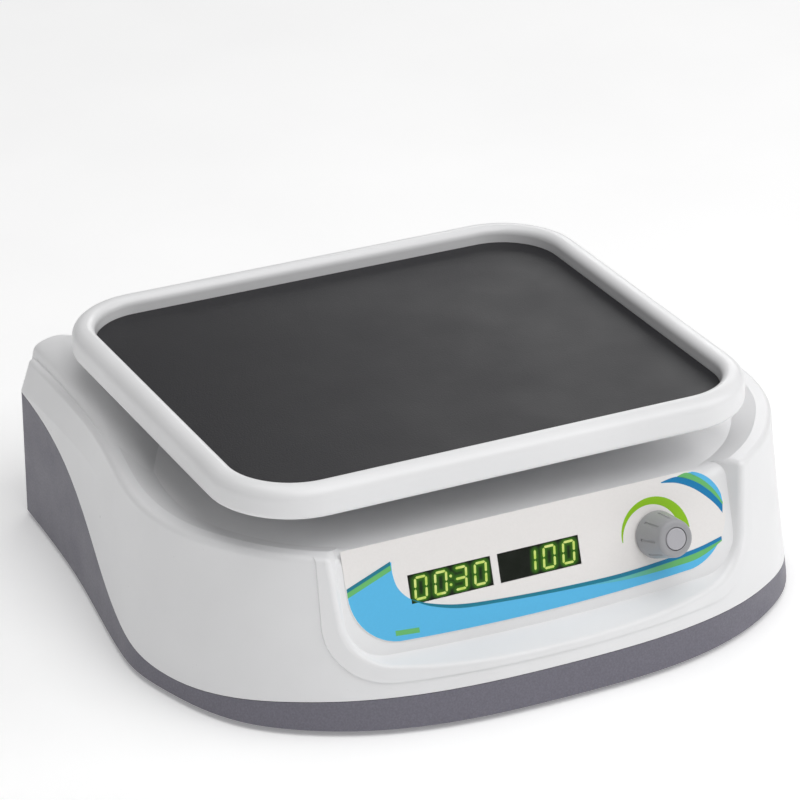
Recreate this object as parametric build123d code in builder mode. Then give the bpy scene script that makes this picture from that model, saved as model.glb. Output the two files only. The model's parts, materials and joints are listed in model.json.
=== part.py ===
from build123d import *
from math import atan2, cos, degrees, hypot, radians, sin
import os

# Digital orbital platform shaker. Millimetres, +Z up, front at -Y, right at +X.
# Origin: middle of the footprint, on the bench.

os.makedirs("parts", exist_ok=True)

# ---------------------------------------------------------------- overall
FOOT_H = 3.0             # rubber feet lift the housing off the bench
CREASE_Z = 86.0          # edge between the deck and the side walls
WALL = 3.0               # plastic wall thickness
BACK_Y = 144.5           # flat back wall
SEAM = 0.3               # parting line between white cover and grey base

# ---------------------------------------------------------------- drive
ORBIT_R = 9.5            # throw of the crank: a 19 mm orbit
AXIS = (0.0, 11.5)       # drive spindle, seen from above
PIN = (AXIS[0] - ORBIT_R, AXIS[1])                # crank pin at rest
IDLERS = ((-75.0, -33.5), (75.0, -33.5), (0.0, 81.5))
MOTOR = (95.0, 60.0)

# ---------------------------------------------------------------- platform
TRAY_W = 275.0
TRAY_D = 241.0
TRAY_R = 42.0            # plan corner radius
TRAY_AT = (PIN[0], PIN[1] - 6.25)                 # tray centre, a little ahead of the pin
TRAY_BOTTOM = 105.7
TRAY_TOP = 121.0
TRAY_FLOOR = 111.0       # top of the tray floor
FLOOR_T = 3.5
RIM_W = 11.4
MAT_T = 2.0
MAT_GAP = 0.3

# ---------------------------------------------------------------- housing plan
# Half outlines from the middle of the front round to the back corner.
FOOT_LINE = ((0, -148), (58, -144.8), (84, -139), (107, -130), (127, -118), (143, -104),
             (156, -84), (165, -60), (170.5, -36), (170, -12), (166.5, 18), (161.5, 58),
             (158.5, 100), (157, BACK_Y))
CREASE_LINE = ((0, -131), (40, -130), (75, -127), (100, -121), (116, -112), (130, -100.5),
               (143, -85), (154, -67), (161, -45), (163, -22), (160.5, 5), (154, 45),
               (151, 95), (151.5, BACK_Y))
WAIST_Z = 70.0           # the side walls lean in above the waist
WAIST_FULL = 4.5         # how much fuller the waist is at the back
WAIST_FROM = 20.0        # and where along the side that starts
BACK_CORNER_R = 4.5
# Height of the white / grey seam along the side, from front to back.
SEAM_LINE = ((-156, 18.4), (-125, 17.2), (-95, 13.6), (-60, 10.8), (-33, 13), (0, 19.4),
             (29, 28.4), (57, 40.8), (85, 54), (107, 61.8), (133, 68), (156, 71.5))

# ---------------------------------------------------------------- panel
PANEL_TILT = 18.5        # the control panel leans back from upright
PANEL_TOP_Y = -110.0
PANEL_FLOOR_HALF = 102.0
PANEL_FLOOR_DROP = 56.0
TIME_AT = (-47.0, 26.3)  # sideways, down the slope
SPEED_AT = (-1.0, 26.3)
KNOB_AT = (61.0, 28.0)
WINDOW_W = 42.0
WINDOW_H = 13.5

panel = Plane(origin=(0, PANEL_TOP_Y, CREASE_Z), x_dir=(1, 0, 0),
              z_dir=(0, -cos(radians(PANEL_TILT)), sin(radians(PANEL_TILT))))


def panel_at(point, out=0.0):
    """Plane on the panel at (sideways, down the slope), moved outward by out."""
    local = Location((point[0], -point[1], out))
    return Plane(panel.location * local)


def at(point, z):
    return Plane(origin=(point[0], point[1], z))


def inset(points, amount):
    """Half outline moved inward by amount, point by point along its normals."""
    moved = []
    chain = [(-points[1][0], points[1][1]), *points]
    for before, here, after in zip(chain, points, points[1:]):
        run = (after[0] - before[0], after[1] - before[1])
        size = hypot(*run)
        moved.append((here[0] - amount * run[1] / size, here[1] + amount * run[0] / size))
    last = (moved[-1][0] + points[-1][0] - points[-2][0], points[-1][1] - amount)
    return [*moved, last]


def half_outline(points, amount=0.0):
    """Closed plan face from half an outline, mirrored about the centre plane."""
    right = inset(points, amount) if amount else list(points)
    left = [(-x, y) for x, y in reversed(right[1:])]
    with BuildSketch() as plan:
        with BuildLine():
            Spline(*left, *right)
            Line(right[-1], left[0])
        make_face()
        back = plan.vertices().group_by(Axis.Y)[-1]
        fillet(back, max(BACK_CORNER_R - amount, 3.0))
    return plan.sketch


def export(part, name):
    part.label = name
    export_step(part, "parts/" + name + ".step")


# ================================================================ housing blanks
CREASE_R = 3.0
DISH = 4.0               # the deck sinks this far below the crease
DECK_Z = CREASE_Z - DISH
DECK_UNDER = DECK_Z - WALL
FLOOR_TOP = FOOT_H + 2.5

LIP_PROUD = 0.8          # raised rim round the panel recess
LIP_HALF = 113.0
LIP_LOW = 63.0
LIP_BOW = 5.5
LIP_R = 32.0


def waist_line():
    """Half outline at the waist: between foot and crease, fuller along the back half."""
    climb = (WAIST_Z - FOOT_H) / (CREASE_Z - FOOT_H)
    line = []
    for low, top in zip(FOOT_LINE, CREASE_LINE):
        back = max(0.0, (low[1] - WAIST_FROM) / (BACK_Y - WAIST_FROM))
        line.append((low[0] + climb * (top[0] - low[0]) + WAIST_FULL * back,
                     low[1] + climb * (top[1] - low[1])))
    return line


def body_blank(amount):
    """Housing as one solid, its walls moved inward by amount."""
    with BuildPart() as blank:
        with BuildSketch(Plane.XY.offset(FOOT_H)):
            add(half_outline(FOOT_LINE, amount))
        with BuildSketch(Plane.XY.offset(WAIST_Z)):
            add(half_outline(waist_line(), amount))
        with BuildSketch(Plane.XY.offset(CREASE_Z)):
            add(half_outline(CREASE_LINE, amount))
        loft(ruled=True)
        fillet(blank.edges().group_by(Axis.Z)[-1], CREASE_R)
    return blank.part


plain = body_blank(0)
proud = body_blank(-LIP_PROUD)


def bowed_face(half, low, bow, radius, top):
    """Flat outline on the panel: straight top, round lower corners, bowed lower edge."""
    with BuildSketch() as face:
        with BuildLine():
            Polyline((-half, -low), (-half, top), (half, top), (half, -low))
            ThreePointArc((half, -low), (0, -low - bow), (-half, -low))
        make_face()
        fillet(face.vertices().group_by(Axis.Y)[0], radius)
    return face.sketch


with BuildPart() as rim:
    add(proud)
    with BuildSketch(panel.offset(-10)):
        add(bowed_face(LIP_HALF, LIP_LOW, LIP_BOW, LIP_R, 30))
    extrude(amount=50, mode=Mode.INTERSECT)

with BuildPart() as outer:
    add(plain)
    add(rim.part)

# Shallow dish in the deck, below the platform.
with BuildPart() as dish:
    with BuildSketch(Plane.XY.offset(DECK_Z)):
        add(half_outline(CREASE_LINE, 19))
    with BuildSketch(Plane.XY.offset(CREASE_Z + 1)):
        add(half_outline(CREASE_LINE, 4.5))
    loft(ruled=True)

# Towards the back the deck swells up inside the crease, along both sides and across.
# Each row: place along Y, half width at the crease, height of the swelling.
SWELL = ((5.0, 160.5, -3.2), (45.0, 154.0, 1.5), (95.0, 151.0, 7.0), (BACK_Y - 0.4, 151.5, 9.0))
# Its profile from the crease inward: distance in, height, share of the rise, and which way
# the point moves when the skin is taken off (1 inward, -1 back towards the crease).
SWELL_PROFILE = ((1.5, -5.0, 0.0, 1), (2.6, -0.4, 0.0, 1), (4.4, 0.0, 0.58, 1), (9.0, 0.0, 0.87, 1),
                 (16.0, 0.0, 1.0, 0), (24.0, -2.5, 1.1, -1), (36.0, -4.4, 0.0, -1))
SWELL_UNDER = 9.0        # how far below the crease it reaches
RAIL_HALF = 133.0        # the part across the back: half length, thickness, slope, height
RAIL_W = 13.0
RAIL_SLOPE = 16.0
RAIL_RISE = 8.6


def swelling(amount):
    """Raised edge of the deck as one solid, its skin moved inward by amount."""
    base = CREASE_Z - amount
    with BuildPart() as swell:
        for y, half, rise in SWELL:
            line = [(half - inward - side * amount, base + height + share * rise)
                    for inward, height, share, side in SWELL_PROFILE]
            place = y - amount if y == SWELL[-1][0] else y
            with BuildSketch(Plane.XZ.offset(-place)):
                with BuildLine():
                    Spline(*line)
                    Polyline(line[-1], (line[-1][0], base - SWELL_UNDER),
                             (line[0][0], base - SWELL_UNDER), line[0])
                make_face()
        loft()
        mirror(about=Plane.YZ)
        outside = BACK_Y - 1 - amount
        inside = BACK_Y - 1 - RAIL_W + amount
        foot = inside - RAIL_SLOPE
        with BuildSketch(Plane.YZ):
            with BuildLine():
                Polyline((foot, base - 5), (outside, base - 5), (outside, base + 5))
                Spline((outside, base + 5), (BACK_Y - 8.5, base + RAIL_RISE),
                       (inside, base + RAIL_RISE - 1.1), (foot, base - 5),
                       tangents=((0, 1), (-1, -0.5)))
            make_face()
        extrude(amount=RAIL_HALF, both=True)
    return swell.part


PANEL_CORNER_R = 20.0
PANEL_BOW = 4.0


def panel_face(grow):
    """Outline of the panel floor, grown by grow on every side."""
    return bowed_face(PANEL_FLOOR_HALF + grow, PANEL_FLOOR_DROP - PANEL_BOW + grow, PANEL_BOW,
                      PANEL_CORNER_R, 12 + grow)


RECESS_SLOPE = 34.0      # the bevel round the panel opens outward

with BuildPart() as recess:
    with BuildSketch(panel):
        add(panel_face(0))
    extrude(amount=34, taper=-RECESS_SLOPE)

with BuildPart() as backing:
    with BuildSketch(panel.offset(-WALL)):
        add(panel_face(WALL - 1))
    extrude(amount=36, taper=-RECESS_SLOPE)

with BuildPart() as cavity:
    with BuildSketch(Plane.XY.offset(FOOT_H - 1)):
        add(half_outline(FOOT_LINE, WALL))
    with BuildSketch(Plane.XY.offset(DECK_UNDER)):
        add(half_outline(CREASE_LINE, WALL))
    loft(ruled=True)
    add(swelling(WALL))
    add(backing.part, mode=Mode.SUBTRACT)


def seam_block(shift, top):
    """Everything above the seam line (top) or below it, across the full width."""
    edge = [(y, z + shift) for y, z in SEAM_LINE]
    far = 130.0 if top else -5.0
    with BuildPart() as block:
        with BuildSketch(Plane.YZ):
            with BuildLine():
                Spline(*edge)
                Polyline(edge[-1], (edge[-1][0], far), (edge[0][0], far), edge[0])
            make_face()
        extrude(amount=190, both=True)
    return block.part


def disc(plane, radius, height, hole=0.0):
    """Round boss or ring standing on plane, as a solid in the open BuildPart."""
    with BuildSketch(plane) as face:
        Circle(radius)
        if hole:
            Circle(hole, mode=Mode.SUBTRACT)
    extrude(face.sketch, amount=height)


def drill(plane, radius, depth):
    """Round hole of the given depth, starting at plane."""
    with BuildSketch(plane) as face:
        Circle(radius)
    extrude(face.sketch, amount=depth, mode=Mode.SUBTRACT)


def ring_part(name, plane, outside, inside, height):
    """Stand-alone plain ring, written as its own piece."""
    with BuildPart() as ring:
        disc(plane, outside, height, inside)
    export(ring.part, name)


# ================================================================ shell fittings
POSTS = ((-132, -76), (132, -76), (-136, 122), (136, 122))
POST_R = 4.5
BOSS_R = 5.5
POST_FOOT = 20.0         # cover posts meet the base bosses here
COVER_SCREW_L = 22.0
PIN_R = 6.0
PIN_SHOULDER_R = 7.5
IDLER_R = 4.0
IDLER_SHOULDER_R = 5.5
PIN_HOLE_R = ORBIT_R + PIN_R + 1.5
IDLER_HOLE_R = ORBIT_R + IDLER_R + 2.0
SHOULDER_Z = 88.0        # bearing shoulders start just above the deck
FEET = ((-110, -98), (110, -98), (-132, 96), (132, 96))
FOOT_R = 10.0
CHASSIS_T = 2.0
CHASSIS_TOP = FLOOR_TOP + CHASSIS_T
SCREW_R = 2.0
FIT = 0.05               # running and slip clearance on radius

# control board, behind the panel; distances are outward from the panel floor
BOARD_W = 168.0
BOARD_H = 40.0
BOARD_AT = (0.0, 30.0)
BOARD_FRONT = -11.0
BOARD_T = 1.6
BOARD_HOLES = ((-80, 14), (80, 14), (-80, 46), (80, 46))
PLUG_W = 20.0            # wiring plug on the control board
LABEL_T = 0.4
BUSHING_R = 3.5
SHAFT_R = 3.0

# power fittings on the back wall: sideways, height
JACK_AT = (-96.0, 26.0)
JACK_R = 5.5
SWITCH_AT = (-62.0, 26.0)
SWITCH_W = 19.0
SWITCH_H = 12.8

# ================================================================ top cover
def above_panel(point):
    """Distance of a point outward from the panel floor's plane."""
    return (point - panel.origin).dot(panel.z_dir)


DECK_SOFT_R = 8.0        # the deck rolls over into the panel
LIP_SOFT_R = 3.0

with BuildPart() as skin:
    add(outer.part)
    add(recess.part, mode=Mode.SUBTRACT)
    add(dish.part, mode=Mode.SUBTRACT)
    add(swelling(0))
    roll = skin.edges().filter_by(lambda e: abs(above_panel(e @ 0.5)) < 0.1
                                  and abs(above_panel(e @ 0.2)) < 0.1
                                  and (e @ 0.5).Z > 80 and e.length > 50)
    fillet(roll, DECK_SOFT_R)
    lip = skin.edges().filter_by(lambda e: 2.5 < above_panel(e @ 0.5) < 15
                                 and abs((e @ 0.5).X) < PANEL_FLOOR_HALF + 5.5
                                 and 27 < (e @ 0.5).Z < DECK_Z and (e @ 0.5).Y < -110
                                 and e.length > 2.5)
    fillet(lip, LIP_SOFT_R)

with BuildPart() as top_cover:
    add(skin.part)
    add(cavity.part, mode=Mode.SUBTRACT)
    add(seam_block(SEAM / 2, True), mode=Mode.INTERSECT)
    for spot in POSTS:
        # The back pair run on up into the swelling.
        top = CREASE_Z + 7 if spot[1] > 0 else DECK_UNDER + SEAM
        disc(at(spot, POST_FOOT + SEAM), POST_R, top - POST_FOOT - SEAM)
        drill(at(spot, POST_FOOT), 1.6, 24)
    drill(at(AXIS, DECK_UNDER - 5), PIN_HOLE_R, 20)
    for spot in IDLERS:
        drill(at(spot, DECK_UNDER - 5), IDLER_HOLE_R, 20)
    for spot in BOARD_HOLES:
        disc(panel_at(spot, BOARD_FRONT), 3.0, -BOARD_FRONT - WALL)
        drill(panel_at(spot, BOARD_FRONT), 1.3, 6)
    for spot in (TIME_AT, SPEED_AT):
        with BuildSketch(panel_at(spot, -WALL - 1)):
            Rectangle(WINDOW_W + 0.4, WINDOW_H + 0.4)
        extrude(amount=WALL + 2, mode=Mode.SUBTRACT)
    drill(panel_at(KNOB_AT, -WALL - 1), BUSHING_R + 0.2, WALL + 2)
export(top_cover.part, "top_cover")

# ================================================================ base shell
VENTS = 9
VENT_PITCH = 9.0
with BuildPart() as base_shell:
    add(outer.part)
    with BuildPart(mode=Mode.PRIVATE) as room:
        add(cavity.part)
        with BuildSketch(Plane.XY):
            Rectangle(400, 400)
        extrude(amount=FLOOR_TOP, mode=Mode.SUBTRACT)
    add(room.part, mode=Mode.SUBTRACT)
    add(seam_block(-SEAM / 2, False), mode=Mode.INTERSECT)
    for spot in POSTS:
        disc(at(spot, FLOOR_TOP), BOSS_R, POST_FOOT - FLOOR_TOP)
        drill(at(spot, FOOT_H), 4.2, 6)
        drill(at(spot, FOOT_H), 1.8, 30)
    for spot in FEET:
        drill(at(spot, FOOT_H), FOOT_R + 0.3, 1.0)
    with BuildSketch(Plane((JACK_AT[0], BACK_Y + 1, JACK_AT[1]), x_dir=(-1, 0, 0),
                           z_dir=(0, 1, 0))):
        Circle(JACK_R + 0.2)
        with Locations((JACK_AT[0] - SWITCH_AT[0], SWITCH_AT[1] - JACK_AT[1])):
            Rectangle(SWITCH_W + 0.4, SWITCH_H + 0.4)
    extrude(amount=-8, mode=Mode.SUBTRACT)
    with BuildSketch(Plane((70, BACK_Y + 1, 30), x_dir=(-1, 0, 0), z_dir=(0, 1, 0))):
        with GridLocations(VENT_PITCH, 0, VENTS, 1):
            SlotOverall(22, 3, rotation=90)
    extrude(amount=-8, mode=Mode.SUBTRACT)
export(base_shell.part, "base_shell")

for number, spot in enumerate(FEET, 1):
    with BuildPart() as foot:
        disc(at(spot, 0), FOOT_R, FOOT_H + 1)
        chamfer(foot.edges().group_by(Axis.Z)[0], 0.8)
    export(foot.part, "foot_" + str(number))

with BuildPart() as cover_screws:
    for spot in POSTS:
        disc(at(spot, FOOT_H + 3.5), 3.8, 2.5)
        disc(at(spot, FOOT_H + 6), 1.5, COVER_SCREW_L)
        with BuildSketch(at(spot, FOOT_H + 3.5)):
            Rectangle(4.6, 0.9)
            Rectangle(0.9, 4.6)
        extrude(amount=1.2, mode=Mode.SUBTRACT)
export(cover_screws.part, "cover_screws")

# ================================================================ chassis
HUB_FLANGE_R = 34.0
HUB_R = 20.0
HUB_TOP = 52.0
HUB_SCREW_R = 27.0
POST_FLANGE_R = 17.0
IDLER_POST_R = 9.0
IDLER_POST_TOP = 68.0
IDLER_SCREW_R = 13.0
FLANGE_T = 4.0
FLANGE_TOP = CHASSIS_TOP + FLANGE_T

MOTOR_R = 21.0
MOTOR_BOTTOM = 13.0
MOTOR_TOP = 48.0
BRACKET_W = 58.0
BRACKET_FOOT = 12.0
BRACKET_T = 3.0
MOTOR_SCREW_R = 15.5

DRIVE_BOARD_AT = (-84.0, 80.0)
DRIVE_BOARD_W = 74.0
DRIVE_BOARD_D = 52.0
STANDOFF_H = 6.0

hub_screws = [Location((AXIS[0], AXIS[1])) * loc
              for loc in PolarLocations(HUB_SCREW_R, 4, 45).locations]
post_screws = [Location((x, y)) * loc for x, y in IDLERS
               for loc in PolarLocations(IDLER_SCREW_R, 3, 90).locations]
bracket_x = BRACKET_W / 2 + BRACKET_FOOT / 2
bracket_screws = [Location((MOTOR[0] + sx * bracket_x, MOTOR[1] + sy * 18))
                  for sx in (-1, 1) for sy in (-1, 1)]
chassis_spots = [(loc.position.X, loc.position.Y)
                 for loc in (*hub_screws, *post_screws)]
bracket_spots = [(loc.position.X, loc.position.Y) for loc in bracket_screws]
board_spots = [(DRIVE_BOARD_AT[0] + sx * (DRIVE_BOARD_W / 2 - 5),
                DRIVE_BOARD_AT[1] + sy * (DRIVE_BOARD_D / 2 - 5))
               for sx in (-1, 1) for sy in (-1, 1)]

with BuildPart() as chassis_plate:
    with BuildSketch(Plane.XY.offset(FLOOR_TOP)):
        add(half_outline(FOOT_LINE, WALL + 2.0))
        with Locations(*POSTS):
            Circle(BOSS_R + 1, mode=Mode.SUBTRACT)
        with Locations(*chassis_spots, *bracket_spots):
            Circle(SCREW_R + FIT, mode=Mode.SUBTRACT)
    extrude(amount=CHASSIS_T)
    for spot in board_spots:
        disc(at(spot, CHASSIS_TOP), 3.2, STANDOFF_H)
        drill(at(spot, FLOOR_TOP), 1.5, 20)
export(chassis_plate.part, "chassis_plate")

BEARING_OUT = 14.0
BEARING_IN = PIN_R
BEARING_H = 8.0
BEARING_SPLIT_OUT = 11.6
BEARING_SPLIT_IN = 8.4
LOWER_BEARING_Z = 14.0
UPPER_BEARING_Z = HUB_TOP - BEARING_H - 1.5

with BuildPart() as bearing_housing:
    disc(at(AXIS, CHASSIS_TOP), HUB_FLANGE_R, FLANGE_T)
    disc(at(AXIS, FLANGE_TOP), HUB_R, HUB_TOP - FLANGE_TOP)
    drill(at(AXIS, LOWER_BEARING_Z - 2), BEARING_OUT - 3, 60)
    drill(at(AXIS, LOWER_BEARING_Z), BEARING_OUT, BEARING_H)
    drill(at(AXIS, UPPER_BEARING_Z), BEARING_OUT, 20)
    with BuildSketch(Plane.XY.offset(CHASSIS_TOP)):
        with Locations(*hub_screws):
            Circle(SCREW_R + FIT)
    extrude(amount=FLANGE_T, mode=Mode.SUBTRACT)
    outer_edges = bearing_housing.edges().filter_by(GeomType.CIRCLE)
    fillet(outer_edges.filter_by(lambda e: abs(e.radius - HUB_R) < 0.1
                                 and e.center().Z < FLANGE_TOP + 1), 3)
export(bearing_housing.part, "bearing_housing")


def ball_bearing(name, spot, z):
    """Shielded ball bearing: still outer ring and turning inner ring."""
    with BuildPart() as still:
        disc(at(spot, z), BEARING_OUT, BEARING_H, BEARING_SPLIT_IN + 0.5)
        with BuildSketch(at(spot, z + 1)):
            Circle(BEARING_SPLIT_OUT)
            Circle(BEARING_SPLIT_IN, mode=Mode.SUBTRACT)
        extrude(amount=BEARING_H - 2, mode=Mode.SUBTRACT)
    export(still.part, name + "_outer")
    ring_part(name + "_inner", at(spot, z), BEARING_SPLIT_IN, BEARING_IN, BEARING_H)


ball_bearing("lower_bearing", AXIS, LOWER_BEARING_Z)
ball_bearing("upper_bearing", AXIS, UPPER_BEARING_Z)

BUSH_R = 6.0
BUSH_BOTTOM = 38.0
for number, spot in enumerate(IDLERS, 1):
    with BuildPart() as post:
        disc(at(spot, CHASSIS_TOP), POST_FLANGE_R, FLANGE_T)
        disc(at(spot, FLANGE_TOP), IDLER_POST_R, IDLER_POST_TOP - FLANGE_TOP)
        drill(at(spot, BUSH_BOTTOM), BUSH_R, 50)
        with BuildSketch(at(spot, CHASSIS_TOP)):
            with PolarLocations(IDLER_SCREW_R, 3, 90):
                Circle(SCREW_R + FIT)
        extrude(amount=FLANGE_T, mode=Mode.SUBTRACT)
    export(post.part, "idler_post_" + str(number))
    with BuildPart() as bush:
        disc(at(spot, BUSH_BOTTOM), BUSH_R, IDLER_POST_TOP - BUSH_BOTTOM, IDLER_R + FIT)
        disc(at(spot, IDLER_POST_TOP), BUSH_R + 2, 1.5, IDLER_R + FIT)
    export(bush.part, "idler_bush_" + str(number))


def pan_screw(spot, z, shank, head_r=3.6, radius=SCREW_R):
    """Cross-slotted pan head sitting at z, shank pointing down."""
    disc(at(spot, z - shank), radius, shank)
    disc(at(spot, z), head_r, 2.4)
    with BuildSketch(at(spot, z + 1.3)) as cross:
        Rectangle(head_r * 1.2, 0.8)
        Rectangle(0.8, head_r * 1.2)
    extrude(cross.sketch, amount=1.5, mode=Mode.SUBTRACT)


with BuildPart() as chassis_screws:
    for spot in chassis_spots:
        pan_screw(spot, FLANGE_TOP, FLANGE_TOP - FLOOR_TOP)
    for spot in bracket_spots:
        pan_screw(spot, CHASSIS_TOP + BRACKET_T, BRACKET_T + CHASSIS_T)
export(chassis_screws.part, "chassis_screws")

# ================================================================ motor and belt
with BuildPart() as motor_bracket:
    with BuildSketch(at(MOTOR, MOTOR_TOP)):
        Rectangle(BRACKET_W, 52)
    extrude(amount=BRACKET_T)
    with BuildSketch(at(MOTOR, CHASSIS_TOP)):
        with Locations((-BRACKET_W / 2 + BRACKET_T / 2, 0), (BRACKET_W / 2 - BRACKET_T / 2, 0)):
            Rectangle(BRACKET_T, 52)
    extrude(amount=MOTOR_TOP - CHASSIS_TOP)
    with BuildSketch(at(MOTOR, CHASSIS_TOP)):
        with Locations((-bracket_x, 0), (bracket_x, 0)):
            Rectangle(BRACKET_FOOT, 52)
    extrude(amount=BRACKET_T)
    drill(at(MOTOR, MOTOR_TOP), 6.5, BRACKET_T)
    with BuildSketch(at(MOTOR, MOTOR_TOP)):
        with PolarLocations(MOTOR_SCREW_R, 4, 45):
            Circle(1.6)
    extrude(amount=BRACKET_T, mode=Mode.SUBTRACT)
    with BuildSketch(Plane.XY.offset(CHASSIS_TOP)):
        with Locations(*bracket_screws):
            Circle(SCREW_R + FIT)
    extrude(amount=BRACKET_T, mode=Mode.SUBTRACT)
export(motor_bracket.part, "motor_bracket")

MOTOR_SHAFT_R = 2.5
motor_screw_spots = [(loc.position.X, loc.position.Y) for loc in
                     [Location(MOTOR) * p for p in PolarLocations(MOTOR_SCREW_R, 4, 45).locations]]
with BuildPart() as motor_body:
    disc(at(MOTOR, MOTOR_BOTTOM), MOTOR_R, MOTOR_TOP - MOTOR_BOTTOM)
    fillet(motor_body.edges(), 1.5)
    disc(at(MOTOR, MOTOR_TOP), 6.2, 2.0)
    drill(at(MOTOR, MOTOR_BOTTOM + 4), MOTOR_SHAFT_R + FIT, 60)
    for spot in motor_screw_spots:
        drill(at(spot, MOTOR_TOP - 5), 1.55, 6)
    with BuildSketch(at(MOTOR, MOTOR_BOTTOM)):
        with Locations((-7, 0), (7, 0)):
            Rectangle(0.8, 4)
    extrude(amount=-4)
export(motor_body.part, "motor_body")

with BuildPart() as motor_screws:
    for spot in motor_screw_spots:
        pan_screw(spot, MOTOR_TOP + BRACKET_T, 7, 2.6, 1.5)
export(motor_screws.part, "motor_screws")

BELT_Z = 56.0
BELT_H = 6.0
BELT_T = 1.6
BELT_GAP = 0.3
DRIVEN_R = 45.0
DRIVER_R = 11.0
PULLEY_Z = 54.0
FLANGE_STEP = 2.0        # pulley flanges stand proud of the belt track

with BuildPart() as motor_shaft:
    disc(at(MOTOR, MOTOR_BOTTOM + 5), MOTOR_SHAFT_R, 50)
export(motor_shaft.part, "motor_shaft")


def pulley(name, spot, radius, bore, hub_r, web):
    """Flat-belt pulley with a track between two flanges; web lightens the disc."""
    with BuildPart() as wheel:
        disc(at(spot, PULLEY_Z), radius + FLANGE_STEP, 10, bore)
        with BuildSketch(at(spot, BELT_Z - 0.4)):
            Circle(radius + FLANGE_STEP + 1)
            Circle(radius, mode=Mode.SUBTRACT)
        extrude(amount=BELT_H + 0.8, mode=Mode.SUBTRACT)
        if web:
            for z in (PULLEY_Z, PULLEY_Z + 7):
                with BuildSketch(at(spot, z)):
                    Circle(radius - 5)
                    Circle(hub_r, mode=Mode.SUBTRACT)
                extrude(amount=3, mode=Mode.SUBTRACT)
            with BuildSketch(at(spot, PULLEY_Z)):
                with PolarLocations((radius - 5 + hub_r) / 2, 6):
                    Circle(6)
            extrude(amount=10, mode=Mode.SUBTRACT)
    export(wheel.part, name)


pulley("driven_pulley", AXIS, DRIVEN_R, PIN_R, 14, True)
pulley("motor_pulley", MOTOR, DRIVER_R, MOTOR_SHAFT_R, 8, False)

span = hypot(MOTOR[0] - AXIS[0], MOTOR[1] - AXIS[1])
heading = degrees(atan2(MOTOR[1] - AXIS[1], MOTOR[0] - AXIS[0]))


def belt_face(big, small):
    """Open-belt outline round two circles, big one at the origin."""
    lean = (big - small) / span
    rise = cos(atan2(lean, (1 - lean * lean) ** 0.5))
    tops = [(big * lean, big * rise), (span + small * lean, small * rise)]
    with BuildSketch() as loop:
        Circle(big)
        with Locations((span, 0)):
            Circle(small)
        with BuildLine():
            Polyline(tops[0], tops[1], (tops[1][0], -tops[1][1]), (tops[0][0], -tops[0][1]),
                     close=True)
        make_face()
    return loop.sketch


with BuildPart() as drive_belt:
    with BuildSketch(Plane(origin=(*AXIS, BELT_Z), x_dir=(cos(radians(heading)),
                                                         sin(radians(heading)), 0))):
        add(belt_face(DRIVEN_R + BELT_GAP + BELT_T, DRIVER_R + BELT_GAP + BELT_T))
        add(belt_face(DRIVEN_R + BELT_GAP, DRIVER_R + BELT_GAP), mode=Mode.SUBTRACT)
    extrude(amount=BELT_H)
export(drive_belt.part, "drive_belt")

# ================================================================ crank
WEIGHT_Z = 65.0
WEIGHT_T = 8.0
WEIGHT_TOP = WEIGHT_Z + WEIGHT_T
WEIGHT_R = 44.0
WEIGHT_HALF = 72.0       # half angle of the counterweight's sector
CRANK_FLANGE_R = 14.0
CRANK_FLANGE_T = 3.5
HUB_LOW = 92.0           # underside of the carrier's bearing bosses
PIN_BEARING_Z = 93.0
PIN_TOP = 102.0

with BuildPart() as spindle:
    disc(at(AXIS, LOWER_BEARING_Z - 1), PIN_R, WEIGHT_TOP - LOWER_BEARING_Z + 1)
    disc(at(AXIS, UPPER_BEARING_Z + BEARING_H), PIN_R + 1.5,
         PULLEY_Z - UPPER_BEARING_Z - BEARING_H)
export(spindle.part, "spindle")

sector_x = WEIGHT_R * cos(radians(WEIGHT_HALF))
sector_y = WEIGHT_R * sin(radians(WEIGHT_HALF))
with BuildPart() as counterweight:
    with BuildSketch(at(AXIS, WEIGHT_Z)):
        with BuildLine():
            CenterArc((0, 0), WEIGHT_R, -WEIGHT_HALF, 2 * WEIGHT_HALF)
            Polyline((sector_x, sector_y), (-4, 16), (-4, -16), (sector_x, -sector_y))
        make_face()
        with Locations((-ORBIT_R, 0)):
            Circle(CRANK_FLANGE_R + 3)
        Circle(PIN_R, mode=Mode.SUBTRACT)
    extrude(amount=WEIGHT_T)
export(counterweight.part, "counterweight")

CRANK_BOLTS = ((PIN[0], PIN[1] + 10.5), (PIN[0], PIN[1] - 10.5))
with BuildPart() as crank_pin:
    disc(at(PIN, WEIGHT_TOP), CRANK_FLANGE_R, CRANK_FLANGE_T)
    disc(at(PIN, SHOULDER_Z), PIN_SHOULDER_R, PIN_BEARING_Z - SHOULDER_Z)
    disc(at(PIN, WEIGHT_TOP), PIN_R, PIN_TOP - WEIGHT_TOP)
    chamfer(crank_pin.edges().group_by(Axis.Z)[-1], 0.8)
export(crank_pin.part, "crank_pin")

# ================================================================ idler cranks
ARM_Z = IDLER_POST_TOP + 1.5 + FIT
ARM_T = 5.4
ARM_W = 14.0
CARRIER_BUSH_Z = 90.5
for number, (x, y) in enumerate(IDLERS, 1):
    with BuildPart() as idler:
        disc(at((x, y), BUSH_BOTTOM + 1), IDLER_R, ARM_Z - BUSH_BOTTOM)
        with BuildSketch(at((x - ORBIT_R / 2, y), ARM_Z)):
            SlotCenterToCenter(ORBIT_R, ARM_W)
        extrude(amount=ARM_T)
        disc(at((x - ORBIT_R, y), SHOULDER_Z), IDLER_SHOULDER_R,
             CARRIER_BUSH_Z - FIT - SHOULDER_Z)
        disc(at((x - ORBIT_R, y), ARM_Z), IDLER_R, PIN_TOP - 1 - ARM_Z)
    export(idler.part, "idler_crank_" + str(number))

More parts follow.
